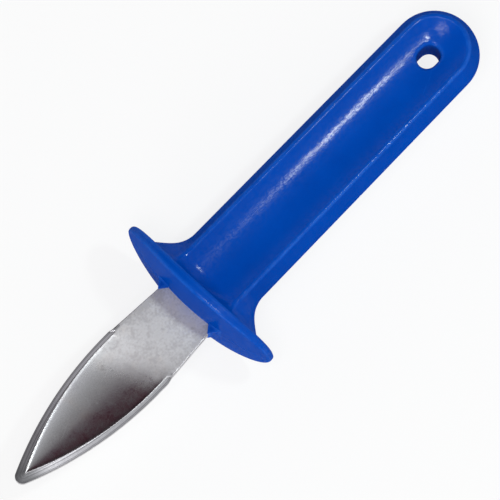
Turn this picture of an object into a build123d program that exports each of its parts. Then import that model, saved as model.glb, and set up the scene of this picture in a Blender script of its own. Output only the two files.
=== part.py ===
from build123d import *

import os
from math import radians, sin, sqrt, tan

os.makedirs("parts", exist_ok=True)

# Oyster knife: a steel blade moulded into a plastic handle with a hand guard.
# Lengths are in millimetres. X runs along the knife towards the blade's tip, Y across it,
# and Z out of its flat side. The origin is the middle of the whole knife.

# Reach of the two pieces, both measured on the axis from the front of the guard
blade_reach = 63.9
handle_reach = 105.6

# Handle
handle_width_guard = 24.2      # across the widest line, at the guard
handle_width_end = 23.4        # the same, where the end starts to round
handle_thickness = 14.5        # over the two raised rims
wall_lean = 3.0                # how far each side wall leans in, from the middle plane to a rim
waist_radius = 5.0             # rounding of the widest line
dish_depth = 2.2               # how deep each round dished face lies below its rims
rim_land = 0.9                 # width of a rim, before its edges are rounded
rim_radius = 0.75              # rounding of both edges of a rim
flare_radius = 8.4             # how the widest line curves out towards the guard
flare_angle = 50               # degrees, where that curve ends and runs on straight
flare_reach = 11.7             # from the back of the guard to the start of the curve

# Guard
guard_width = 50.4             # across the knife
guard_height = 30.0            # out of the knife's flat side
guard_bow = 4.3                # how far the two ends lie behind the middle
guard_dome = 1.0               # how far the front falls back towards its upper and lower edge
guard_core = 4.0               # thickness on the axis
guard_edge = 2.0               # thickness at the two ends
guard_edge_radius = 0.9
guard_root_radius = 5.0        # where the guard runs into the handle

# Blade
blade_thickness = 2.5
shank_width_guard = 17.5       # where the blade leaves the guard
shank_width_leaf = 19.9        # where the leaf starts
shank_reach = 17.5             # guard's front to the start of the leaf
shank_seat = 2.5               # how far the full width of the shank runs into the guard
leaf_width = 20.7
leaf_shoulder = 4.0            # straight start of the leaf's edges, before they curve in
tip_radius = 2.0               # the curved edges run into this rounding of the tip
bevel_width = 1.6              # ground border of the leaf, on both faces
bevel_drop = 0.7               # how far the border falls towards the edge
bevel_tip_inset = 3.2          # width of the border at the tip
bevel_tip_radius = 0.15        # inner tip of the border
hollow_depth = 0.65            # deepest place of the hollow in each face of the leaf

# Tang, the part of the blade inside the handle
tang_width = 14.0
tang_reach = 48.0
tang_corner_radius = 3.0
tang_hole_diameter = 5.0
tang_hole_inset = 14.0         # guard's front to the first hole
tang_hole_spacing = 22.0
moulded_gap = 0.02             # between the steel and the plastic round it

# Lugs that grip the edges of the blade in front of the guard
lug_reach = 2.4
lug_side = 1.8                 # base of a lug to each side of the blade's edge
lug_root = 1.0                 # how far a lug runs into the guard
lug_cover = 1.2                # plastic over each face of the blade
lug_radius = 0.3

# Hole to hang the knife by
hang_hole_length = 6.6
hang_hole_width = 5.4
hang_hole_inset = 14.3         # end of the handle to the middle of the hole
hang_hole_radius = 1.1         # rounding of its two mouths

overrun = 1.0                  # how far a cutting shape runs past the faces that it opens

# The hollow of the leaf: stations from the leaf's start to its inner tip, as shares of that
# length, and the depth at each, as shares of the deepest place
hollow_station_shares = (0.0, 0.16, 0.36, 0.58, 0.8, 0.93, 0.985)
hollow_depth_shares = (0.03, 0.6, 1.0, 0.83, 0.48, 0.2, 0.065)
hollow_land_share = 0.02       # flat left between the hollow and the border

# The widening of the grip: places of its sections, as shares of its length from its start
flare_shares = (0.0, 0.15, 0.3, 0.45, 0.6, 0.8, 1.0)
waist_limit_share = 0.95       # largest rounding of the widest line, of half the thickness

# Places that follow from the sizes
guard_x = (handle_reach - blade_reach) / 2
tip_x = guard_x + blade_reach
end_x = guard_x - handle_reach
leaf_x = guard_x + shank_reach
curve_x = leaf_x + leaf_shoulder
tang_hole_x = guard_x - tang_hole_inset - tang_hole_spacing / 2
hang_hole_x = end_x + hang_hole_inset
end_centre_x = end_x + handle_width_end / 2
guard_back_x = guard_x - guard_core
rim_z = handle_thickness / 2
waist_round = min(waist_radius, waist_limit_share * rim_z)
waist_crown = waist_round * (sqrt(1 + (wall_lean / rim_z) ** 2) - 1)
half_blade = blade_thickness / 2


def sagitta(radius, half_chord):
    """Height of an arc of this radius over half its chord."""
    return radius - sqrt(radius ** 2 - half_chord ** 2)


def arc_radius(half_chord, height):
    """Radius of the arc that stands this high over half its chord."""
    return (half_chord ** 2 + height ** 2) / (2 * height)


def edge_radius(half_width, round_radius, reach_x):
    """Radius of a leaf's curved edge that ends its shoulder and runs into a round tip."""
    run = reach_x - round_radius - curve_x
    return (run ** 2 + half_width ** 2 - round_radius ** 2) / (2 * (half_width - round_radius))


border_tip_x = tip_x - bevel_tip_inset
border_half = leaf_width / 2 - bevel_width
border_radius = edge_radius(border_half, bevel_tip_radius, border_tip_x)
front_radius = arc_radius(guard_width / 2, guard_bow)
dome_radius = arc_radius(guard_height / 2, guard_dome)
back_radius = arc_radius(guard_width / 2, guard_bow - guard_core + guard_edge)


def blade_root():
    """Outline of the shank and the tang, with the two holes that the plastic flows through."""
    with BuildSketch() as root:
        with BuildLine():
            Polyline(
                (leaf_x, shank_width_leaf / 2),
                (guard_x, shank_width_guard / 2),
                (guard_x - shank_seat, shank_width_guard / 2),
                (guard_x - shank_seat, -shank_width_guard / 2),
                (guard_x, -shank_width_guard / 2),
                (leaf_x, -shank_width_leaf / 2),
                close=True,
            )
        make_face()
        with Locations((guard_x, 0)):
            Rectangle(tang_reach, tang_width, align=(Align.MAX, Align.CENTER))
        fillet(root.vertices().group_by(Axis.X)[0], radius=tang_corner_radius)
        with Locations((tang_hole_x, 0)):
            with GridLocations(tang_hole_spacing, 0, 2, 1):
                Circle(tang_hole_diameter / 2, mode=Mode.SUBTRACT)
    return root.sketch


def leaf_outline(half_width, round_radius, reach_x):
    """Outline of the leaf: two straight shoulders, two curved edges and a round tip."""
    round_x = reach_x - round_radius
    lean_x = (round_x - curve_x) / (edge_radius(half_width, round_radius, reach_x) - round_radius)
    touch_x = round_x + round_radius * lean_x
    touch_y = round_radius * sqrt(1 - lean_x ** 2)
    with BuildSketch() as leaf:
        with BuildLine():
            shoulder = Line((leaf_x, half_width), (curve_x, half_width))
            curve = TangentArc(shoulder @ 1, (touch_x, touch_y), tangent=(1, 0))
            tip = ThreePointArc(curve @ 1, (reach_x, 0), (touch_x, -touch_y))
            far_curve = TangentArc((curve_x, -half_width), tip @ 1, tangent=(1, 0))
            Polyline(far_curve @ 0, (leaf_x, -half_width), shoulder @ 0)
        make_face()
    return leaf.sketch


# Hollow of one face of the leaf, lofted through round segments
with BuildPart() as hollow:
    for station_share, depth_share in zip(hollow_station_shares, hollow_depth_shares):
        station_x = leaf_x + station_share * (border_tip_x - leaf_x)
        past_curve = max(station_x - curve_x, 0)
        chord_share = 1 - hollow_land_share
        half_chord = chord_share * (border_half - sagitta(border_radius, past_curve))
        depth = depth_share * hollow_depth
        with BuildSketch(Plane.YZ.offset(station_x)):
            with BuildLine():
                segment = ThreePointArc(
                    (-half_chord, half_blade), (0, half_blade - depth), (half_chord, half_blade)
                )
                Polyline(
                    segment @ 1,
                    (half_chord, half_blade + overrun),
                    (-half_chord, half_blade + overrun),
                    segment @ 0,
                )
            make_face()
    loft()

# Blade: one plate from the tip to the end of the tang
with BuildPart() as blade:
    with BuildSketch(Plane.XY.offset(half_blade - bevel_drop)):
        add(leaf_outline(leaf_width / 2, tip_radius, tip_x))
    with BuildSketch(Plane.XY.offset(half_blade)):
        add(leaf_outline(border_half, bevel_tip_radius, border_tip_x))
    loft(ruled=True)
    with BuildSketch():
        add(leaf_outline(leaf_width / 2, tip_radius, tip_x))
    extrude(amount=half_blade - bevel_drop)
    mirror(about=Plane.XY)
    with BuildSketch():
        add(blade_root())
    extrude(amount=half_blade, both=True)
    add(hollow.part, mode=Mode.SUBTRACT)
    add(mirror(hollow.part, about=Plane.XY, mode=Mode.PRIVATE), mode=Mode.SUBTRACT)

blade.part.label = "blade"
export_step(blade.part, "parts/blade.step")


def leaned_corner(rim_y, half_width):
    """Where the two walls of a side would meet, for their rounded meeting to lie this far out."""
    slack = waist_round - (half_width - rim_y)
    steep = 1 - (waist_round / rim_z) ** 2
    return rim_y + (sqrt(slack ** 2 - steep * (slack ** 2 - waist_round ** 2)) - slack) / steep


def grip_section(width, spread=0):
    """Section across the handle: side walls that lean in, rounded rims, dished faces."""
    rim_y = width / 2 + waist_crown - wall_lean
    corner = leaned_corner(rim_y, width / 2 + spread)
    dish_radius = arc_radius(rim_y - rim_land, dish_depth)
    dish_axis_z = rim_z - dish_depth + dish_radius
    with BuildSketch() as section:
        with BuildLine():
            Polyline(
                (corner, 0),
                (rim_y, rim_z),
                (-rim_y, rim_z),
                (-corner, 0),
                (-rim_y, -rim_z),
                (rim_y, -rim_z),
                close=True,
            )
        make_face()
        with Locations((0, dish_axis_z), (0, -dish_axis_z)):
            Circle(dish_radius, mode=Mode.SUBTRACT)
        by_height = section.vertices().group_by(Axis.Y)
        fillet(by_height[len(by_height) // 2], radius=waist_round)
        fillet(section.vertices().group_by(Axis.Y)[0], radius=rim_radius)
        fillet(section.vertices().group_by(Axis.Y)[-1], radius=rim_radius)
    return section.sketch


# Guard: an oval plate, bowed towards the blade and domed in front, with a rounded edge
with BuildPart() as guard:
    dome_reach = guard_height / 2 + overrun
    dome_end_x = guard_x - sagitta(dome_radius, dome_reach)
    front_centre_x = guard_x - front_radius
    with BuildSketch(Plane.XZ):
        with BuildLine():
            dome = ThreePointArc((dome_end_x, dome_reach), (guard_x, 0), (dome_end_x, -dome_reach))
            Polyline(
                dome @ 1,
                (front_centre_x, -dome_reach),
                (front_centre_x, dome_reach),
                dome @ 0,
            )
        make_face()
    revolve(axis=Axis((front_centre_x, 0, 0), (0, 0, 1)))
    with BuildSketch():
        with Locations((guard_back_x - back_radius, 0)):
            Circle(back_radius)
    extrude(amount=guard_height, both=True, mode=Mode.SUBTRACT)
    with BuildSketch(Plane.YZ.offset(guard_x)):
        Ellipse(guard_width / 2, guard_height / 2)
    extrude(amount=2 * (guard_bow + guard_core), both=True, mode=Mode.INTERSECT)
    fillet(guard.edges().filter_by(GeomType.LINE, reverse=True), radius=guard_edge_radius)

# Lugs: a pair of wedges on the guard's front, each pointing along one edge of the blade
with BuildPart() as lugs:
    lug_edge_y = shank_width_guard / 2
    lug_front_x = guard_x - sagitta(front_radius, lug_edge_y)
    lug_base = lug_side * (lug_reach + lug_root) / lug_reach
    with BuildSketch():
        with BuildLine():
            Polyline(
                (lug_front_x + lug_reach, lug_edge_y),
                (lug_front_x - lug_root, lug_edge_y + lug_base),
                (lug_front_x - lug_root, lug_edge_y - lug_base),
                close=True,
            )
        make_face()
        mirror(about=Plane.XZ)
    extrude(amount=half_blade + lug_cover, both=True)
    fillet(lugs.edges().filter_by(Axis.Z).group_by(Axis.X)[-1], radius=lug_radius)


def flare(from_start):
    """How much the widening adds to each side of the grip, this far from its start."""
    turned = min(from_start, flare_radius * sin(radians(flare_angle)))
    return sagitta(flare_radius, turned) + (from_start - turned) * tan(radians(flare_angle))


# Handle: grip, guard and lugs in one moulding, closed tightly round the tang
with BuildPart() as handle:
    with BuildSketch(Plane.YZ.offset(end_centre_x)):
        add(grip_section(handle_width_end))
        with Locations((handle_width_end / 2, 0)):
            Rectangle(handle_width_end, 2 * handle_thickness, mode=Mode.INTERSECT)
    revolve(axis=Axis((end_centre_x, 0, 0), (0, 0, 1)), revolution_arc=180)
    with BuildSketch(Plane.YZ.offset(end_centre_x)):
        add(grip_section(handle_width_end))
    with BuildSketch(Plane.YZ.offset(guard_back_x - flare_reach)):
        add(grip_section(handle_width_guard))
    loft(ruled=True)
    for flare_share in flare_shares:
        from_start = flare_share * (flare_reach + guard_core / 2)
        with BuildSketch(Plane.YZ.offset(guard_back_x - flare_reach + from_start)):
            add(grip_section(handle_width_guard, flare(from_start)))
    loft()
    with BuildSketch():
        with BuildLine():
            middle_x = guard_x - guard_core / 2
            middle_end_x = middle_x - sagitta(front_radius, guard_width / 2)
            middle = ThreePointArc(
                (middle_end_x, guard_width / 2), (middle_x, 0), (middle_end_x, -guard_width / 2)
            )
            Polyline(
                middle @ 1,
                (end_x - overrun, -guard_width / 2),
                (end_x - overrun, guard_width / 2),
                middle @ 0,
            )
        make_face()
    extrude(amount=handle_thickness, both=True, mode=Mode.INTERSECT)
    add(guard.part)
    half_root = handle_width_guard / 2 + flare(flare_reach)
    root_edges = (
        handle.edges()
        .filter_by_position(Axis.X, guard_back_x - sagitta(back_radius, half_root), guard_back_x)
        .filter_by_position(Axis.Y, -half_root, half_root)
    )
    fillet(root_edges, radius=guard_root_radius)
    add(lugs.part)
    with BuildSketch():
        add(blade_root())
        offset(amount=moulded_gap)
    extrude(amount=half_blade + moulded_gap, both=True, mode=Mode.SUBTRACT)
    with BuildSketch():
        with Locations((hang_hole_x, 0)):
            SlotOverall(hang_hole_length, hang_hole_width)
    extrude(amount=handle_thickness, both=True, mode=Mode.SUBTRACT)
    mouths = (
        handle.edges(Select.LAST)
        .filter_by(Axis.Z, reverse=True)
        .filter_by_position(Axis.Y, -hang_hole_width / 2, hang_hole_width / 2)
    )
    fillet(mouths, radius=hang_hole_radius)

handle.part.label = "handle"
export_step(handle.part, "parts/handle.step")
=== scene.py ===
# %% [markdown]
# Oyster knife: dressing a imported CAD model.
#
# The knife is two real pieces. A stamped steel blade, with its tang, is laid in a mould, and blue
# polypropylene is shot round it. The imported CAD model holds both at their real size, and this
# lesson gives them the shapes and surfaces that such a knife has. Blender works in metres, and the
# knife lies along X with its flat sides facing up and down. MM turns real millimetres into metres.

from math import cos, pi, radians, sin

import bmesh
import bpy
import numpy as np
from mathutils import Matrix, Vector


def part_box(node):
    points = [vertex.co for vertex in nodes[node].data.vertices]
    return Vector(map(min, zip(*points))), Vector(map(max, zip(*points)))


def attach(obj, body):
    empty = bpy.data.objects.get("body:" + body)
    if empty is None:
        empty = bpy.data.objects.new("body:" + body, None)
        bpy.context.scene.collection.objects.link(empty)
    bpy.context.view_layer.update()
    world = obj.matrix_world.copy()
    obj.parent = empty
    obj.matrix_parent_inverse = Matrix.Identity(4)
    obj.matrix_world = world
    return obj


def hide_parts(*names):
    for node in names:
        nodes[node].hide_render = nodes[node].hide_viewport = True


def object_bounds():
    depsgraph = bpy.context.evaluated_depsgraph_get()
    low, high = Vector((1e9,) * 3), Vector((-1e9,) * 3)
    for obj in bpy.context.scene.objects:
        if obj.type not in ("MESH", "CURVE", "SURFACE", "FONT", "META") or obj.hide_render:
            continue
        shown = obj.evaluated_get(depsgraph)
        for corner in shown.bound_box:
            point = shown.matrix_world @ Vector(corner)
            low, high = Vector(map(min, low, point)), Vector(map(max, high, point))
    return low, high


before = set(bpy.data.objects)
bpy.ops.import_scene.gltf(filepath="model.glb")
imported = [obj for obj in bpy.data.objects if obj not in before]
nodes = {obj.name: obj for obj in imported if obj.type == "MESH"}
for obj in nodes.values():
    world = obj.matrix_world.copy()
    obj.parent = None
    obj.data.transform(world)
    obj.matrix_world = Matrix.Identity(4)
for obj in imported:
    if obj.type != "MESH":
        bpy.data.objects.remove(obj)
cad_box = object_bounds()
MM = 0.001
print("CAD nodes:", sorted(nodes))
print("CAD box in mm:", [[round(v / MM, 2) for v in corner] for corner in cad_box])

# %% [markdown]
# The camera. The photograph was taken with a long lens from nearly straight above the flat side,
# leaning a little towards the blade and to one side, and the picture is turned so that the knife
# lies on the diagonal. A camera is easiest to place by its three directions: where it looks from,
# what is right in the picture and what is up. A long lens from far away keeps the outline
# parallel, as it is in the photograph.

# %% Camera
LEAN_X = 0.21
LEAN_Y = 0.16
ROLL = radians(45.7)
PIXELS_PER_MM = 3.8644
PICTURE_PIXELS = 500
KNIFE_MIDDLE_PIXELS = (242.49, 251.43)
CAMERA_DISTANCE = 3.0
SENSOR_MM = 36.0

towards_camera = Vector((LEAN_X, LEAN_Y, 1)).normalized()
along_knife = -(Vector((1, 0, 0)) - towards_camera * towards_camera.x).normalized()
across_knife = towards_camera.cross(along_knife)
if across_knife.y < 0:
    across_knife.negate()
picture_right = along_knife * cos(ROLL) + across_knife * sin(ROLL)
picture_down = across_knife * cos(ROLL) - along_knife * sin(ROLL)

metres_per_pixel = MM / PIXELS_PER_MM
shift_right = (PICTURE_PIXELS / 2 - KNIFE_MIDDLE_PIXELS[0]) * metres_per_pixel
shift_down = (PICTURE_PIXELS / 2 - KNIFE_MIDDLE_PIXELS[1]) * metres_per_pixel
aim = picture_right * shift_right + picture_down * shift_down

camera_data = bpy.data.cameras.new("camera")
camera_data.sensor_width = SENSOR_MM
camera_data.lens = SENSOR_MM * CAMERA_DISTANCE / (PICTURE_PIXELS * metres_per_pixel)
camera_data.clip_end = 4 * CAMERA_DISTANCE
camera = bpy.data.objects.new("camera", camera_data)
bpy.context.scene.collection.objects.link(camera)
turn = Matrix((picture_right, -picture_down, towards_camera)).transposed()
camera.matrix_world = Matrix.Translation(aim + towards_camera * CAMERA_DISTANCE) @ turn.to_4x4()
bpy.context.scene.camera = camera
print("lens in mm:", round(camera_data.lens))
print("picture width in mm:", round(PICTURE_PIXELS / PIXELS_PER_MM, 1))

# %% [markdown]
# Shader nodes are quicker to read when one line makes a node, sets it up and joins it to what
# feeds it. These small helpers do that, and every material and node group below uses them.


# %% Helpers for shader nodes
def put(tree, kind, inputs=None, **settings):
    """Add a shader node, set its own settings, and fill or join its inputs by name or number."""
    node = tree.nodes.new("ShaderNode" + kind)
    for name, value in settings.items():
        setattr(node, name, value)
    for name, value in (inputs or {}).items():
        if isinstance(value, bpy.types.NodeSocket):
            tree.links.new(value, node.inputs[name])
        else:
            node.inputs[name].default_value = value
    return node


def calculate(tree, operation, first, second=0.0, clamp=False):
    """One step of arithmetic between two sockets or numbers."""
    return put(tree, "Math", {0: first, 1: second}, operation=operation, use_clamp=clamp).outputs[0]


def add_part(tree, base, part, amount, clamp=False):
    """The base value, plus the amount times a part that changes over the surface."""
    inputs = {0: part, 1: amount, 2: base}
    return put(tree, "Math", inputs, operation="MULTIPLY_ADD", use_clamp=clamp).outputs[0]


def remap(tree, value, low, high, new_low=0.0, new_high=1.0):
    """A value between low and high, softly turned into one between new_low and new_high."""
    limits = {"Value": value, "From Min": low, "From Max": high, "To Min": new_low, "To Max": new_high}
    return put(tree, "MapRange", limits, interpolation_type="SMOOTHSTEP").outputs[0]


def blend_colors(tree, share, first, second):
    """The first colour where the share is 0 and the second where it is 1."""
    return put(tree, "Mix", {0: share, 6: first, 7: second}, data_type="RGBA").outputs[2]


def new_material(name):
    """A node material with only its output and a Principled BSDF."""
    material = bpy.data.materials.new(name)
    material.use_nodes = True
    tree = material.node_tree
    return material, tree, tree.nodes["Principled BSDF"]


# %% [markdown]
# The floor. The guard is the widest part out of the flat side, so the knife stands on the guard's
# lowest point, and the floor lies there. It is plain matt paper. Where it is seen directly or in
# the steel it is mostly a glow, so the ground comes out nearly white without more light on the
# knife, and a trace of the knife's soft shadow stays. From below the sheet is clear, because the
# knife's other flat side should be seen too.

# %% Floor
FLOOR_SIDE = 14.0
PAPER_WHITE = (0.9, 0.9, 0.9, 1)
PAPER_ROUGHNESS = 0.9
BACKGROUND_GLOW = 0.82

floor_z = cad_box[0].z
half = FLOOR_SIDE / 2
corners = [(-half, -half, floor_z), (half, -half, floor_z), (half, half, floor_z), (-half, half, floor_z)]
floor_mesh = bpy.data.meshes.new("floor")
floor_mesh.from_pydata(corners, [], [(0, 1, 2, 3)])
floor = bpy.data.objects.new("floor", floor_mesh)
bpy.context.scene.collection.objects.link(floor)
paper, paper_tree, paper_shader = new_material("white_paper")
paper_shader.inputs["Base Color"].default_value = PAPER_WHITE
paper_shader.inputs["Roughness"].default_value = PAPER_ROUGHNESS
paper_shader.inputs["Specular IOR Level"].default_value = 0.0
seen = put(paper_tree, "LightPath").outputs
direct = calculate(paper_tree, "MAXIMUM", seen["Is Camera Ray"], seen["Is Glossy Ray"])
direct = calculate(paper_tree, "MAXIMUM", direct, seen["Is Transmission Ray"])
glow_share = calculate(paper_tree, "MULTIPLY", direct, BACKGROUND_GLOW)
glow = put(paper_tree, "Emission", {"Color": (1, 1, 1, 1), "Strength": 1.0}).outputs[0]
lit = put(paper_tree, "MixShader", {0: glow_share, 1: paper_shader.outputs[0], 2: glow}).outputs[0]
from_below = put(paper_tree, "NewGeometry").outputs["Backfacing"]
clear = put(paper_tree, "BsdfTransparent").outputs[0]
sheet = put(paper_tree, "MixShader", {0: from_below, 1: lit, 2: clear}).outputs[0]
paper_tree.links.new(sheet, paper_tree.nodes["Material Output"].inputs["Surface"])
floor_mesh.materials.append(paper)
print("floor at z in mm:", round(floor_z / MM, 2))

# %% [markdown]
# The sky. Steel shows little colour of its own: what we see on it is the room. In the photograph
# one half of the hollow mirrors something bright and the other half something dark and brownish,
# with a quick change between them. So the sky is a ramp over the angle to one side of straight
# up, from one horizon at -90 degrees to the other at 90, with a dark band from -50 to -10.

# %% Studio sky
SKY_BANDS = (
    (-90, (0.72, 0.72, 0.74)),
    (-62, (0.7, 0.7, 0.73)),
    (-51, (0.25, 0.24, 0.25)),
    (-41, (0.035, 0.025, 0.03)),
    (-30, (0.03, 0.013, 0.018)),
    (-20, (0.06, 0.025, 0.033)),
    (-14, (0.07, 0.045, 0.06)),
    (-9, (0.24, 0.235, 0.24)),
    (-1, (0.31, 0.315, 0.32)),
    (4, (0.4, 0.405, 0.42)),
    (9, (0.56, 0.57, 0.6)),
    (19, (0.8, 0.81, 0.86)),
    (30, (0.6, 0.6, 0.62)),
    (45, (0.4, 0.4, 0.41)),
    (90, (0.6, 0.6, 0.6)),
)
SKY_TOP = 1.0

world = bpy.data.worlds.new("studio")
bpy.context.scene.world = world
world.use_nodes = True
sky = world.node_tree
axes = put(sky, "SeparateXYZ", {0: put(sky, "TexCoord").outputs["Generated"]})
side_angle = calculate(sky, "ARCTAN2", axes.outputs["Y"], axes.outputs["Z"])
sky_share = put(sky, "MapRange", {"Value": side_angle, "From Min": -pi / 2, "From Max": pi / 2})
ramp = put(sky, "ValToRGB", {"Fac": sky_share.outputs[0]})
stops = ramp.color_ramp.elements
while len(stops) < len(SKY_BANDS):
    stops.new(0.5)
for stop, (angle, level) in zip(stops, SKY_BANDS):
    stop.position = (angle + 90) / 180
    stop.color = (level[0] / SKY_TOP, level[1] / SKY_TOP, level[2] / SKY_TOP, 1)
sky.links.new(ramp.outputs["Color"], sky.nodes["Background"].inputs["Color"])
sky.nodes["Background"].inputs["Strength"].default_value = SKY_TOP
darkest = min(SKY_BANDS, key=lambda band: sum(band[1]))
print("sky bands:", len(SKY_BANDS), "with the darkest at", darkest[0], "degrees")

# %% [markdown]
# The lamps. A small lamp close above the handle makes the bright line along its dished face. It
# hangs so near that the blade, 8 cm away, mirrors another part of the room, and it is a little
# cold, as that line is in the photograph. A soft top lamp on the blade's side of the guard lights
# the tumbled shank and keeps most of the guard's shadow off it. It stands to one side, so the two
# slopes of the dished face differ. A low front lamp lights the guard's face.


# %% Lamps
def soft_lamp(name, direction, distance, size_x, size_y, watts):
    """An area lamp that faces the knife from a direction, its long side along the knife."""
    data = bpy.data.lights.new(name, "AREA")
    data.shape = "RECTANGLE"
    data.size = size_x
    data.size_y = size_y
    data.energy = watts
    lamp = bpy.data.objects.new(name, data)
    bpy.context.scene.collection.objects.link(lamp)
    back = Vector(direction).normalized()
    side = (Vector((1, 0, 0)) - back * back.x).normalized()
    turn = Matrix((side, back.cross(side), back)).transposed()
    lamp.matrix_world = Matrix.Translation(back * distance) @ turn.to_4x4()
    return lamp


NEAR_FROM = (-0.12, 0.097, 0.328)
NEAR_DISTANCE = 0.362
NEAR_SIDE = 0.034
NEAR_TINT = (0.9, 1.0, 0.97)
TOP_FROM = (0.33, 0.15, 0.94)
TOP_SIDE = 0.42
FRONT_FROM = (0.86, 0.35, 0.27)
FRONT_SIDES = (0.6, 0.5)
FAR_DISTANCE = 1.2

near = soft_lamp("near_lamp", NEAR_FROM, NEAR_DISTANCE, NEAR_SIDE, NEAR_SIDE, watts=0.33)
near.data.color = NEAR_TINT
top = soft_lamp("top_lamp", TOP_FROM, FAR_DISTANCE, TOP_SIDE, TOP_SIDE, watts=4.7)
front = soft_lamp("front_lamp", FRONT_FROM, FAR_DISTANCE, *FRONT_SIDES, watts=3.4)
print("lamps:", [lamp.name for lamp in (near, top, front)])

# %% [markdown]
# The blade's outline. The real blade is blanked from a 2.5 mm sheet and its leaf is pressed
# hollow between two ground borders. The CAD solid has the right size but few faces, so its long
# reflections would break up. A finer mesh replaces it, made as a loft: stations along the blade,
# and at each one a loop of points round the section. Each edge of the leaf is a straight shoulder
# and an arc that runs into the round tip.

# %% Edges of the leaf
LEAF_LENGTH = 46.4 * MM
LEAF_SHOULDER = 4.0 * MM
TIP_RADIUS = 2.0 * MM
BORDER_WIDTH = 1.4 * MM
BORDER_TIP = 3.2 * MM
BORDER_TIP_RADIUS = 0.15 * MM
CURVE_STEPS = 110
TIP_STEPS = 18

blade_low, blade_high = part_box("blade")
half_blade = blade_high.z
half_leaf = blade_high.y
tip_x = blade_high.x
leaf_x = tip_x - LEAF_LENGTH
curve_x = leaf_x + LEAF_SHOULDER


def leaf_edge(half_width, round_radius, reach_x):
    """One edge of the leaf, from the end of its shoulder to the middle of its round tip."""
    run = reach_x - round_radius - curve_x
    edge_radius = (run ** 2 + half_width ** 2 - round_radius ** 2) / (2 * (half_width - round_radius))
    end_angle = np.arcsin(run / (edge_radius - round_radius))
    angles = np.linspace(0, end_angle, CURVE_STEPS, endpoint=False)
    curve = np.column_stack((
        curve_x + edge_radius * np.sin(angles),
        half_width - edge_radius * (1 - np.cos(angles)),
    ))
    angles = np.linspace(end_angle, pi / 2, TIP_STEPS)
    tip = np.column_stack((
        reach_x - round_radius * (1 - np.sin(angles)),
        round_radius * np.cos(angles),
    ))
    return np.vstack((curve, tip))


outer_leaf = leaf_edge(half_leaf, TIP_RADIUS, tip_x)
inner_leaf = leaf_edge(half_leaf - BORDER_WIDTH, BORDER_TIP_RADIUS, tip_x - BORDER_TIP)
print("leaf from x", round(leaf_x / MM, 2), "to", round(tip_x / MM, 2), "mm,", len(outer_leaf), "stations")

# %% [markdown]
# Shank and tang. Between the guard and the leaf the blade is flat, and it widens slowly. Inside
# the handle it goes on as a narrower tang, which nobody sees but which belongs to the piece. The
# leaf is a little wider than the shank, and in the photograph its borders start at a slant, later
# on one side than on the other.

# %% Edges of the shank and tang
SHANK_LENGTH = 20.0 * MM
SHANK_HALF_GUARD = 8.75 * MM
SHANK_HALF_LEAF = 9.95 * MM
GUARD_TO_LEAF = 17.5 * MM
TANG_HALF = 7.0 * MM
TANG_CORNER = 3.0 * MM
STEP_PLACES = {-1: (0.2 * MM, 1.6 * MM), 1: (-1.9 * MM, 1.2 * MM)}
BORDER_INSET = 0.9 * MM
STEP_RUN = 3.0 * MM
TANG_STOP = 0.01 * MM
CORNER_POINTS = 8
SHANK_STATIONS = 16
STEP_STATIONS = 44


def smooth_step(value, start, end):
    """0 before start, 1 past end, and a soft rise between them."""
    share = np.clip((value - start) / (end - start), 0, 1)
    return share * share * (3 - 2 * share)


shank_x = leaf_x - SHANK_LENGTH
corner_angles = np.linspace(0, pi / 2, CORNER_POINTS)
tang_end = np.column_stack((
    blade_low.x + TANG_CORNER * (1 - np.cos(corner_angles)),
    TANG_HALF - TANG_CORNER * (1 - np.sin(corner_angles)),
))
tang = np.vstack((tang_end, [(shank_x - TANG_STOP, TANG_HALF)]))
flat_x = np.concatenate((
    np.linspace(shank_x, leaf_x - STEP_RUN, SHANK_STATIONS, endpoint=False),
    np.linspace(leaf_x - STEP_RUN, curve_x, STEP_STATIONS, endpoint=False),
))


def outer_edge(side):
    """The whole edge of one side of the blade, from the tang's end to the tip."""
    shank_slope = (SHANK_HALF_LEAF - SHANK_HALF_GUARD) / GUARD_TO_LEAF
    shank = SHANK_HALF_LEAF + shank_slope * (np.maximum(flat_x, leaf_x - GUARD_TO_LEAF) - leaf_x)
    start, end = STEP_PLACES[side]
    step = smooth_step(flat_x, leaf_x + start, leaf_x + end)
    flat = np.column_stack((flat_x, shank + (half_leaf - shank) * step))
    return np.vstack((tang, flat, outer_leaf))


def border_line(outer):
    """Where the border meets the flat or the hollow, for one outer edge."""
    inner = outer.copy()
    flat_count = len(outer) - len(inner_leaf)
    inner[:, 1] = np.minimum(outer[:, 1] - BORDER_INSET, half_leaf - BORDER_WIDTH)
    inner[flat_count:] = inner_leaf
    return inner


print("shank from x", round(shank_x / MM, 2), "mm, tang from", round(blade_low.x / MM, 2), "mm")

# %% [markdown]
# The heights. The border falls away towards the cutting edge. The hollow is a shallow round
# trough whose sides keep the same slope all the way to the tip, with a slightly steeper wall just
# inside the border. That wall catches the light as a thin bright line on one side. Towards the
# shank the hollow runs out softly, with a rounded corner at each border.

# %% Heights of the border and the hollow
BORDER_DROP = 0.7 * MM
BORDER_RAMP = 0.55 * MM
BORDER_START = {-1: -0.4 * MM, 1: -0.25 * MM}
BORDER_SLANT = {-1: 1.45 * MM, 1: -1.6 * MM}
HOLLOW_SLOPE = 0.16
HOLLOW_DEPTH_MAX = 0.66 * MM
HOLLOW_START = -9.0 * MM
HOLLOW_FULL = 16.0 * MM
WALL_DEPTH = 0.07 * MM
WALL_WIDTH = 0.9 * MM
WALL_START = 0.2 * MM
WALL_RUNOUT = 9.0 * MM
WALL_CORNER = 2.2
CORNER_INNER_SHARE = 0.55
CORNER_OUTER_SHARE = 0.95
LEAST_HALF_WIDTH = 0.01 * MM


def border_fall(x, share, side):
    """How far the border lies below the flat, at a share of its width out from its inner line."""
    start = leaf_x + BORDER_START[side] + BORDER_SLANT[side] * share
    return BORDER_DROP * share * smooth_step(x, start, start + BORDER_RAMP)


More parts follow.
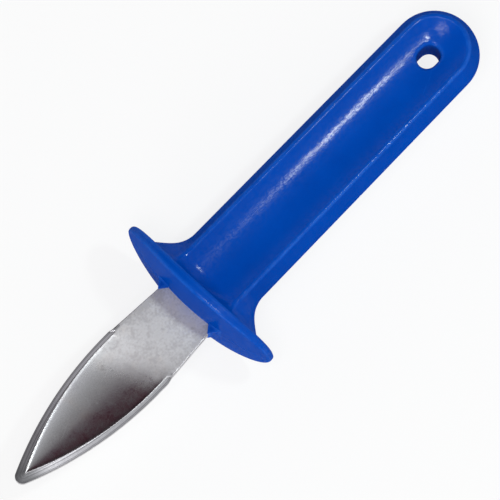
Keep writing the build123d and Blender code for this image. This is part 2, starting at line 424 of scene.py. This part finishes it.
def hollow_fall(x, y, half_width):
    """Depth of the hollow at a place, where it is half_width wide to each side."""
    across = np.clip(np.abs(y) / np.maximum(half_width, LEAST_HALF_WIDTH), 0, 1)
    deepest = np.minimum(HOLLOW_SLOPE * half_width / 2, HOLLOW_DEPTH_MAX)
    deepest = deepest * smooth_step(x, leaf_x + HOLLOW_START, leaf_x + HOLLOW_FULL)
    trough = deepest * (1 - across ** 2)
    from_side = (half_width - np.abs(y)) / WALL_WIDTH
    inner_part = 1 - smooth_step(across, CORNER_INNER_SHARE, CORNER_OUTER_SHARE)
    runout = WALL_WIDTH + (WALL_RUNOUT - WALL_WIDTH) * inner_part
    from_start = (x - leaf_x - WALL_START) / runout
    near_side = np.maximum(WALL_CORNER - from_side, 0)
    near_start = np.maximum(WALL_CORNER - from_start, 0)
    inside = np.clip(WALL_CORNER - np.hypot(near_side, near_start), 0, 1)
    return trough + WALL_DEPTH * inside * (2 - inside)


# %% [markdown]
# The loft. At each station the loop climbs the side wall, rounds the edge, crosses the border,
# the hollow and the far border, and comes back the same way underneath. Two values go with each
# point, which the materials need later: how far it lies in from the edge, and how deep it is in
# the hollow.

# %% Blade mesh
EDGE_RADIUS = 0.15 * MM
BORDER_POINTS = 8
BORDER_SHARES = np.linspace(1, 0.05, BORDER_POINTS)
HOLLOW_POINTS = 45
HOLLOW_REACH = 0.985
HOLLOW_SHARES = HOLLOW_REACH * np.sin(np.linspace(-pi / 2, pi / 2, HOLLOW_POINTS))
ROUND_MIDDLE = 1 - cos(pi / 4)


def half_border(outer, inner, side):
    """Points of one border, from the middle plane up the wall and in to the border's inner line."""
    places = []
    spans = inner - outer
    length = np.hypot(spans[:, 0], spans[:, 1])
    round_share = EDGE_RADIUS / np.maximum(length, EDGE_RADIUS)
    edge_z = half_blade - border_fall(outer[:, 0], 1 - round_share, side)
    zero = 0 * edge_z
    round_z = edge_z - ROUND_MIDDLE * EDGE_RADIUS
    for inset_share, height in ((0, zero), (0, edge_z - EDGE_RADIUS), (ROUND_MIDDLE, round_z)):
        place = outer + spans * (inset_share * round_share)[:, None]
        from_edge = inset_share * EDGE_RADIUS + zero
        places.append((place[:, 0], side * place[:, 1], height, from_edge, zero))
    for border_share in BORDER_SHARES:
        share = border_share * (1 - round_share)
        place = outer + spans * (1 - share)[:, None]
        height = half_blade - border_fall(place[:, 0], share, side)
        places.append((place[:, 0], side * place[:, 1], height, length * (1 - share), zero))
    return np.array(places)


def blade_section():
    """The upper half in rows along the blade: near border, hollow and far border.

    Each point has five values: x, y, height, distance from the edge and depth in the hollow.
    """
    near_outer, far_outer = outer_edge(-1), outer_edge(1)
    near_inner, far_inner = border_line(near_outer), border_line(far_outer)
    near = half_border(near_outer, near_inner, -1)
    far = half_border(far_outer, far_inner, 1)
    trough = []
    x = near_inner[:, 0]
    for hollow_share in HOLLOW_SHARES:
        half_width = near_inner[:, 1] if hollow_share < 0 else far_inner[:, 1]
        y = hollow_share * half_width
        depth = hollow_fall(x, y, half_width)
        from_edge = BORDER_WIDTH + half_width - np.abs(y)
        trough.append((x, y, half_blade - depth, from_edge, depth))
    return np.concatenate((near, np.array(trough), far[::-1]))


upper = blade_section()
rows = upper.shape[0]
stations = upper.shape[2]
lower = upper[1:-1][::-1].copy()
lower[:, 2] *= -1
loops = np.concatenate((upper, lower))
loop_length = len(loops)
points = loops.transpose(2, 0, 1).reshape(-1, loops.shape[1])
faces = []
for station in range(stations - 1):
    for row in range(loop_length):
        next_row = (row + 1) % loop_length
        here, there = station * loop_length, (station + 1) * loop_length
        faces.append((here + row, there + row, there + next_row, here + next_row))
faces.append(tuple(range(loop_length)))
blade_mesh = bpy.data.meshes.new("blade_leaf_and_shank")
blade_mesh.from_pydata(points[:, :3].tolist(), [], faces)
print("blade mesh:", len(points), "points,", len(faces), "faces")
print("deepest place of the hollow in mm:", round(upper[:, 4].max() / MM, 2))

# %% [markdown]
# Painted values. The press polished the hollow, and the tumbled shank fades into it along a slant,
# so "polished" rises over about 2 cm. A second value rises over the last 12 mm to the tip, where
# the ground face gets a painted shade and more roughness. They become attributes of the mesh, as
# the distance from the edge does. The borders are known by their rows in the loop, and get the
# second material. Points that fall together at the tip are merged, and only real edges stay sharp.

# %% Painted values and materials of the blade
POLISHED_DEPTH = 0.02 * MM
POLISHED_START = -5.0 * MM
POLISHED_SLANT = 0.45
POLISHED_RUN = 21.0 * MM
TIP_SHADE_AND_DULL_RUN = 12.0 * MM
GROUND_BEFORE_LEAF = 2.0 * MM
MERGE_DISTANCE = 0.002 * MM
SHARP_ANGLE = radians(34)


def paint(name, values):
    """Keep one value for each point of the blade, under a name that a material can read."""
    attribute = blade_mesh.attributes.new(name, "FLOAT", "POINT")
    attribute.data.foreach_set("value", values.astype(np.float32))


point_x, point_y, _, point_from_edge, point_depth = points.T
start = leaf_x + POLISHED_START - POLISHED_SLANT * point_y
pressed = smooth_step(point_depth, 0, POLISHED_DEPTH)
paint("polished", pressed * smooth_step(point_x, start, start + POLISHED_RUN))
paint("tip_shade_and_dull", smooth_step(point_x, tip_x - TIP_SHADE_AND_DULL_RUN, tip_x))
paint("from_edge_mm", point_from_edge / MM)

border_rows = len(BORDER_SHARES) + 2
ground_rows = set(range(2, border_rows)) | set(range(rows - 1 - border_rows, rows - 3))
ground_rows |= {2 * (rows - 1) - 1 - row for row in ground_rows}
for face in blade_mesh.polygons:
    station, row = divmod(face.index, loop_length)
    on_leaf = point_x[station * loop_length] > leaf_x - GROUND_BEFORE_LEAF
    face.material_index = int(row in ground_rows and on_leaf)

tidy = bmesh.new()
tidy.from_mesh(blade_mesh)
bmesh.ops.remove_doubles(tidy, verts=tidy.verts, dist=MERGE_DISTANCE)
bmesh.ops.recalc_face_normals(tidy, faces=tidy.faces)
tidy.to_mesh(blade_mesh)
tidy.free()
blade_mesh.shade_smooth()
blade_mesh.set_sharp_from_angle(angle=SHARP_ANGLE)
blade = bpy.data.objects.new("blade_leaf_and_shank", blade_mesh)
bpy.context.scene.collection.objects.link(blade)
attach(blade, "root")
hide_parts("blade")
print("ground faces:", sum(face.material_index for face in blade_mesh.polygons))

# %% [markdown]
# The parting line. Where the two halves of a mould meet, a moulding keeps a hair-thin raised
# seam. The mould for this handle opens out of the flat sides, so the seam runs in the knife's
# middle plane, along both sides, round the end and over the guard. A copy of the handle is cut
# at that plane, the cut's outer line is walked from one lug to the other, and a thin bead
# follows it, sunk to its middle in the plastic.

# %% Parting line
SEAM_RADIUS = 0.07 * MM
SEAM_STEP = 0.35 * MM
BLADE_CLEARANCE = 0.6 * MM
CUT_MERGE_DISTANCE = 0.005 * MM

cut = bmesh.new()
cut.from_mesh(nodes["handle"].data)
bmesh.ops.bisect_plane(
    cut,
    geom=cut.verts[:] + cut.edges[:] + cut.faces[:],
    plane_co=(0, 0, 0),
    plane_no=(0, 0, 1),
    clear_inner=True,
    clear_outer=True,
)
bmesh.ops.remove_doubles(cut, verts=cut.verts, dist=CUT_MERGE_DISTANCE)


def beside_blade(place):
    """True for the walls of the pocket that the blade sits in, which nobody sees."""
    past_tang_end = place.x > blade_low.x - BLADE_CLEARANCE
    return past_tang_end and abs(place.y) < half_leaf + BLADE_CLEARANCE


hidden = [v for v in cut.verts if beside_blade(v.co)]
bmesh.ops.delete(cut, geom=hidden, context="VERTS")
ends = [v for v in cut.verts if len(v.link_edges) == 1 and v.co.x > 0]
walker = min(ends, key=lambda v: v.co.y)
path = [walker.co.copy()]
passed = {walker}
while True:
    onward = [e.other_vert(walker) for e in walker.link_edges if e.other_vert(walker) not in passed]
    if not onward:
        break
    walker = onward[0]
    passed.add(walker)
    if (walker.co - path[-1]).length > SEAM_STEP:
        path.append(walker.co.copy())
cut.free()

seam_data = bpy.data.curves.new("parting_line", "CURVE")
seam_data.dimensions = "3D"
seam_data.bevel_depth = 1.0
seam_data.bevel_resolution = 1
seam_data.use_fill_caps = True
line = seam_data.splines.new("POLY")
line.points.add(len(path) - 1)
for point, place in zip(line.points, path):
    point.co = (*place, 1)
    point.radius = SEAM_RADIUS
seam = bpy.data.objects.new("parting_line", seam_data)
bpy.context.scene.collection.objects.link(seam)
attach(seam, "root")
seam_length = sum((b - a).length for a, b in zip(path, path[1:]))
print("parting line:", len(path), "points,", round(seam_length / MM), "mm long")


# %% [markdown]
# Surface effects that plastic and steel share. Each is a node group with named inputs and
# outputs, built once and placed in each material with its own values. The first is fine grain,
# the texture that a mould's spark-cut face or a tumbling drum leaves. It only gives a height, and
# the material decides how deep that is.


# %% Node group: fine grain
def new_group(name, inputs, outputs):
    """An empty node group. Inputs are (name, start value), and a value of None is a vector."""
    group = bpy.data.node_groups.new(name, "ShaderNodeTree")
    for socket_name, start in inputs:
        kind = "NodeSocketVector" if start is None else "NodeSocketFloat"
        socket = group.interface.new_socket(socket_name, in_out="INPUT", socket_type=kind)
        if start is not None:
            socket.default_value = start
    for socket_name in outputs:
        group.interface.new_socket(socket_name, in_out="OUTPUT", socket_type="NodeSocketFloat")
    return group, group.nodes.new("NodeGroupInput").outputs, group.nodes.new("NodeGroupOutput").inputs


def place_group(tree, group, **values):
    """A node group in a material, with its inputs filled or joined by name."""
    node = tree.nodes.new("ShaderNodeGroup")
    node.node_tree = group
    for name, value in values.items():
        socket = node.inputs[name.replace("_", " ")]
        if isinstance(value, bpy.types.NodeSocket):
            tree.links.new(value, socket)
        else:
            socket.default_value = value
    return node.outputs


grain, inlet, outlet = new_group("fine_grain", [("Place", None), ("Size mm", 0.3)], ["Height"])
grain_scale = calculate(grain, "DIVIDE", 1 / MM, inlet["Size mm"])
noise = put(grain, "TexNoise", {"Vector": inlet["Place"], "Scale": grain_scale, "Detail": 2.0})
grain.links.new(noise.outputs["Fac"], outlet["Height"])

# %% [markdown]
# Blotches are soft, cloudy patches: plastic cools a little darker here and lighter there, and
# tumbled steel dulls unevenly. Two sizes of noise are added, and the result swings about zero, so
# a material can add it to any of its values.

# %% Node group: blotches
FINE_TIMES = 4.3
NOISE_MIDDLE = 0.5

blotches, inlet, outlet = new_group(
    "blotches", [("Place", None), ("Size mm", 4.0), ("Fine part", 0.4)], ["Swing"]
)
large_scale = calculate(blotches, "DIVIDE", 1 / MM, inlet["Size mm"])
fine_scale = calculate(blotches, "MULTIPLY", large_scale, FINE_TIMES)
large = put(blotches, "TexNoise", {"Vector": inlet["Place"], "Scale": large_scale, "Detail": 1.0})
fine = put(blotches, "TexNoise", {"Vector": inlet["Place"], "Scale": fine_scale, "Detail": 1.0})
large_swing = calculate(blotches, "SUBTRACT", large.outputs["Fac"], NOISE_MIDDLE)
fine_swing = calculate(blotches, "SUBTRACT", fine.outputs["Fac"], NOISE_MIDDLE)
fine_swing = calculate(blotches, "MULTIPLY", fine_swing, inlet["Fine part"])
swing = calculate(blotches, "ADD", large_swing, fine_swing)
swing = calculate(blotches, "DIVIDE", swing, NOISE_MIDDLE)
blotches.links.new(swing, outlet["Swing"])

# %% [markdown]
# Hairline scratches. A kitchen tool is rubbed in drawers and racks, mostly along its length. The
# noise is drawn out into long thin streaks at two slight angles, and only its highest crests are
# kept, so the streaks stay rare and thin.

# %% Node group: hairline scratches
STREAK_STRETCH = 0.02
STREAK_ANGLES = (radians(9), radians(-24))
CREST_SOFTNESS = 0.06

scratches, inlet, outlet = new_group(
    "hairline_scratches", [("Place", None), ("Spacing mm", 1.0), ("Rarity", 0.64)], ["Mask"]
)
streak_scale = calculate(scratches, "DIVIDE", 1 / MM, inlet["Spacing mm"])
crest = calculate(scratches, "ADD", inlet["Rarity"], CREST_SOFTNESS)
masks = []
for angle in STREAK_ANGLES:
    inputs = {"Vector": inlet["Place"], "Angle": angle}
    turned = put(scratches, "VectorRotate", inputs, rotation_type="Z_AXIS").outputs[0]
    inputs = {0: turned, 1: (STREAK_STRETCH, 1, 1)}
    drawn = put(scratches, "VectorMath", inputs, operation="MULTIPLY").outputs[0]
    inputs = {"Vector": drawn, "Scale": streak_scale, "Detail": 3.0}
    streaks = put(scratches, "TexNoise", inputs)
    masks.append(remap(scratches, streaks.outputs["Fac"], inlet["Rarity"], crest))
either = calculate(scratches, "MAXIMUM", masks[0], masks[1])
scratches.links.new(either, outlet["Mask"])

# %% [markdown]
# Edge wear and painted highlight. The mask finds edges. On the ground steel they are rubbed
# smoother, and on the plastic they are painted paler, which is a painted highlight. Blender's
# Bevel node gives the normal that the surface would have if its edges were rounded. Where that
# differs from the true normal, there is an edge. Blotches break the mask up, so it is never even.

# %% Node group: edge wear and painted highlight
FLAT_LIKENESS = 0.998
EDGE_LIKENESS = 0.93
PATCH_LOW = 0.3
PATCH_HIGH = 0.6
LEAST_EDGE_MASK = 0.4

wear_and_highlight, inlet, outlet = new_group(
    "edge_wear_and_highlight", [("Place", None), ("Reach mm", 0.4), ("Patch mm", 3.0)], ["Mask"]
)
reach = calculate(wear_and_highlight, "MULTIPLY", inlet["Reach mm"], MM)
rounded = put(wear_and_highlight, "Bevel", {"Radius": reach}, samples=4)
true_normal = put(wear_and_highlight, "NewGeometry").outputs["Normal"]
likeness = put(wear_and_highlight, "VectorMath", {0: rounded.outputs[0], 1: true_normal}, operation="DOT_PRODUCT")
edge = remap(wear_and_highlight, likeness.outputs["Value"], FLAT_LIKENESS, EDGE_LIKENESS)
patch_scale = calculate(wear_and_highlight, "DIVIDE", 1 / MM, inlet["Patch mm"])
patch = put(wear_and_highlight, "TexNoise", {"Vector": inlet["Place"], "Scale": patch_scale, "Detail": 2.0})
patchy = remap(wear_and_highlight, patch.outputs["Fac"], PATCH_LOW, PATCH_HIGH, LEAST_EDGE_MASK, 1.0)
patchy_edge = calculate(wear_and_highlight, "MULTIPLY", edge, patchy)
wear_and_highlight.links.new(patchy_edge, outlet["Mask"])
print("node groups:", [group.name for group in (grain, blotches, scratches, wear_and_highlight)])

# %% [markdown]
# Blue polypropylene. The handle's plastic is a deep, even blue with a half gloss. The colour lies
# under a thin clear coat, and fine grain changes the coat's weight from speck to speck, which
# breaks the long bright line up as in the photograph. The coat is thin but its index is high, so
# it shines from above and stays faint along the walls, where a plain gloss would mirror the pale
# floor. Flow marks shift the colour a little, and handling has left a few paler hairlines. The
# edges, ridges and rims are painted paler as well, which is a painted highlight along them.

# %% Colour of the handle plastic
PLASTIC_BLUE = (0.0, 0.068, 0.45, 1)
PLASTIC_HIGHLIGHT_AND_HAIRLINE = (0.02, 0.15, 0.66, 1)
PLASTIC_DEEP = (0.0, 0.052, 0.37, 1)
DEEP_MIDDLE = 0.4
DEEP_SWING = 0.5
EDGE_HIGHLIGHT_PALENESS = 0.8
HAIRLINE_PALENESS = 0.12

plastic, tree, shader = new_material("blue_polypropylene")
place = put(tree, "TexCoord").outputs["Object"]
flow = place_group(tree, blotches, Place=place, Size_mm=9.0, Fine_part=0.3)["Swing"]
edge_wear_and_highlight_mask = place_group(tree, wear_and_highlight, Place=place, Reach_mm=1.2, Patch_mm=2.5)["Mask"]
hairlines = place_group(tree, scratches, Place=place, Spacing_mm=0.8, Rarity=0.7)["Mask"]
height = place_group(tree, grain, Place=place, Size_mm=0.5)["Height"]
deep_share = add_part(tree, DEEP_MIDDLE, flow, DEEP_SWING, clamp=True)
color = blend_colors(tree, deep_share, PLASTIC_BLUE, PLASTIC_DEEP)
# Painted highlight: the plastic's edges, ridges and rims are painted paler where the edge mask is high.
highlight_and_hairline_share = calculate(tree, "MULTIPLY", edge_wear_and_highlight_mask, EDGE_HIGHLIGHT_PALENESS)
highlight_and_hairline_share = add_part(tree, highlight_and_hairline_share, hairlines, HAIRLINE_PALENESS)
color = blend_colors(tree, highlight_and_hairline_share, color, PLASTIC_HIGHLIGHT_AND_HAIRLINE)
tree.links.new(color, shader.inputs["Base Color"])

# %% [markdown]
# Where the handle shines. Its mould opens up and down, so the steep walls of the grip and of the
# hang hole rub along the steel as the part comes out, and lose most of their shine. The mask reads
# how flat a face lies. The guard's front is steep too, but it is polished, so it keeps its gloss.

# %% Gloss of the handle plastic
STEEP = 0.4
FLAT = 0.65
DRAGGED_GLOSS = 0.3
GUARD_BACK = 10.0 * MM
GUARD_FRONT = 16.0 * MM
PLASTIC_ROUGHNESS = 0.4
FLOW_ROUGHNESS = 0.05
HAIRLINE_ROUGHNESS = 0.12
GLOSS = 0.06
GLOSS_LOST = 0.055
GLOSS_ROUGHNESS = 0.17
GLOSS_INDEX = 2.4
SPECKLE = 0.7
SPECKLE_LOW = 0.4
SPECKLE_HIGH = 0.6
GRAIN_DEPTH = 0.002 * MM

roughness = add_part(tree, PLASTIC_ROUGHNESS, flow, FLOW_ROUGHNESS)
roughness = add_part(tree, roughness, hairlines, HAIRLINE_ROUGHNESS)
tree.links.new(roughness, shader.inputs["Roughness"])
shader.inputs["Specular IOR Level"].default_value = 0.0
least_gloss, most_gloss = GLOSS * (1 - SPECKLE), GLOSS * (1 + SPECKLE)
gloss = remap(tree, height, SPECKLE_LOW, SPECKLE_HIGH, least_gloss, most_gloss)
gloss = add_part(tree, gloss, hairlines, -GLOSS_LOST, clamp=True)
facing = put(tree, "SeparateXYZ", {0: put(tree, "NewGeometry").outputs["Normal"]})
flatness = calculate(tree, "ABSOLUTE", facing.outputs["Z"])
undragged = remap(tree, flatness, STEEP, FLAT, DRAGGED_GLOSS, 1.0)
along = put(tree, "SeparateXYZ", {0: place}).outputs["X"]
undragged = calculate(tree, "MAXIMUM", undragged, remap(tree, along, GUARD_BACK, GUARD_FRONT))
gloss = calculate(tree, "MULTIPLY", gloss, undragged)
tree.links.new(gloss, shader.inputs["Coat Weight"])
shader.inputs["Coat Roughness"].default_value = GLOSS_ROUGHNESS
shader.inputs["Coat IOR"].default_value = GLOSS_INDEX
bump = put(tree, "Bump", {"Strength": 1.0, "Distance": GRAIN_DEPTH, "Height": height})
tree.links.new(bump.outputs[0], shader.inputs["Normal"])
nodes["handle"].data.materials.clear()
nodes["handle"].data.materials.append(plastic)
seam_data.materials.append(plastic)
print("gloss of the coat from", round(least_gloss, 3), "to", round(most_gloss, 3))

# %% [markdown]
# Tumbled steel. The shank was tumbled, so it is dull and cloudy, and here and there it has a
# faint warm tint. Beside the shank's edges its colour is painted darker, which is a painted shade.
# The press has polished the hollow, so there the steel mirrors the room more clearly. The painted
# value "polished" moves the roughness from the one to the other.

# %% Colour of the blade steel
STEEL_COLOR = (0.7, 0.69, 0.71, 1)
STEEL_DARK = (0.5, 0.485, 0.5, 1)
STEEL_WARM = (0.71, 0.655, 0.63, 1)
EDGE_SHADE = 0.62
SHADE_FROM_MM = 0.8
SHADE_TO_MM = 4.5
CLOUD_MIDDLE = 0.32
CLOUD_SWING = 1.3
WARM_SWING = 1.2

steel, tree, shader = new_material("tumbled_steel")
place = put(tree, "TexCoord").outputs["Object"]
polish = put(tree, "Attribute", attribute_name="polished").outputs["Fac"]
from_edge = put(tree, "Attribute", attribute_name="from_edge_mm").outputs["Fac"]
cloud = place_group(tree, blotches, Place=place, Size_mm=3.0, Fine_part=0.9)["Swing"]
hairlines = place_group(tree, scratches, Place=place, Spacing_mm=0.5, Rarity=0.7)["Mask"]
height = place_group(tree, grain, Place=place, Size_mm=0.45)["Height"]
# Painted shade: the shank's colour is painted darker within a few millimetres of its edges.
painted_edge_shade = remap(tree, from_edge, SHADE_FROM_MM, SHADE_TO_MM, EDGE_SHADE, 0.0)
dull = calculate(tree, "SUBTRACT", 1.0, polish)
painted_edge_shade = calculate(tree, "MULTIPLY", painted_edge_shade, dull)
cloud_and_edge_shade_share = add_part(tree, CLOUD_MIDDLE, cloud, CLOUD_SWING)
cloud_and_edge_shade_share = calculate(tree, "ADD", cloud_and_edge_shade_share, painted_edge_shade, clamp=True)
tint = place_group(tree, blotches, Place=place, Size_mm=7.0, Fine_part=0.3)["Swing"]
warm_share = calculate(tree, "MULTIPLY", tint, WARM_SWING, clamp=True)
color = blend_colors(tree, warm_share, STEEL_COLOR, STEEL_WARM)
color = blend_colors(tree, cloud_and_edge_shade_share, color, STEEL_DARK)
tree.links.new(color, shader.inputs["Base Color"])

# %% Gloss of the blade steel
TUMBLED_ROUGHNESS = 0.45
POLISHED_ROUGHNESS = 0.19
CLOUD_ROUGHNESS = 0.09
SCRATCH_ROUGHNESS = 0.05
STEEL_GRAIN_DEPTH = 0.0035 * MM

roughness = remap(tree, polish, 0.0, 1.0, TUMBLED_ROUGHNESS, POLISHED_ROUGHNESS)
roughness = add_part(tree, roughness, cloud, CLOUD_ROUGHNESS)
roughness = add_part(tree, roughness, hairlines, SCRATCH_ROUGHNESS)
tree.links.new(roughness, shader.inputs["Roughness"])
shader.inputs["Metallic"].default_value = 1.0
bump = put(tree, "Bump", {"Strength": 1.0, "Distance": STEEL_GRAIN_DEPTH, "Height": height})
tree.links.new(bump.outputs[0], shader.inputs["Normal"])
blade_mesh.materials.append(steel)
print("steel roughness from", POLISHED_ROUGHNESS, "in the hollow to", TUMBLED_ROUGHNESS, "on the shank")

# %% [markdown]
# Ground steel. A belt has ground the borders, and its lines run along the edge. The painted value
# "from_edge_mm" counts millimetres in from the edge, so a noise that reads it makes lines that
# follow the edge round the leaf, whatever way it curves. Towards the tip the ground face is
# painted darker, which is a painted shade, and made duller, and its outermost edge is rubbed a
# little smoother.

# %% Ground borders
GROUND_COLOR = (0.66, 0.655, 0.68, 1)
GROUND_DARK = (0.3, 0.295, 0.31, 1)
TIP_SHADE_COLOR = (0.12, 0.12, 0.125, 1)
TIP_SHADE_STRENGTH = 0.9
TIP_ROUGHNESS = 0.3
GROUND_ROUGHNESS = 0.36
GROUND_SWING = 0.06
RUBBED_SMOOTHER = 0.08
LINE_SPACING_MM = 0.32
LINE_DEPTH = 0.003 * MM
LINE_LOW = 0.35
LINE_HIGH = 0.65

ground, tree, shader = new_material("ground_steel")
place = put(tree, "TexCoord").outputs["Object"]
from_edge = put(tree, "Attribute", attribute_name="from_edge_mm").outputs["Fac"]
edge_wear_and_highlight_mask = place_group(tree, wear_and_highlight, Place=place, Reach_mm=0.25, Patch_mm=1.5)["Mask"]
cloud = place_group(tree, blotches, Place=place, Size_mm=2.0, Fine_part=0.5)["Swing"]
line_place = calculate(tree, "DIVIDE", from_edge, LINE_SPACING_MM)
lines = put(tree, "TexNoise", {"W": line_place, "Scale": 1.0, "Detail": 1.0}, noise_dimensions="1D")
line_share = remap(tree, lines.outputs["Fac"], LINE_LOW, LINE_HIGH)
color = blend_colors(tree, line_share, GROUND_COLOR, GROUND_DARK)
# Painted shade: the ground face is painted darker, and made rougher, over the last 12 mm to the tip.
tip_shade_and_dulling = put(tree, "Attribute", attribute_name="tip_shade_and_dull").outputs["Fac"]
color = blend_colors(tree, calculate(tree, "MULTIPLY", tip_shade_and_dulling, TIP_SHADE_STRENGTH), color, TIP_SHADE_COLOR)
tree.links.new(color, shader.inputs["Base Color"])
roughness = add_part(tree, GROUND_ROUGHNESS, cloud, GROUND_SWING)
roughness = add_part(tree, roughness, edge_wear_and_highlight_mask, -RUBBED_SMOOTHER)
roughness = add_part(tree, roughness, tip_shade_and_dulling, TIP_ROUGHNESS)
tree.links.new(roughness, shader.inputs["Roughness"])
shader.inputs["Metallic"].default_value = 1.0
bump = put(tree, "Bump", {"Strength": 1.0, "Distance": LINE_DEPTH, "Height": lines.outputs["Fac"]})
tree.links.new(bump.outputs[0], shader.inputs["Normal"])
blade_mesh.materials.append(ground)
print("materials:", [material.name for material in (plastic, steel, ground)])

# %% [markdown]
# Last come the plain view settings, so that a colour renders as it is written.

# %% View settings
bpy.context.scene.view_settings.view_transform = "Standard"
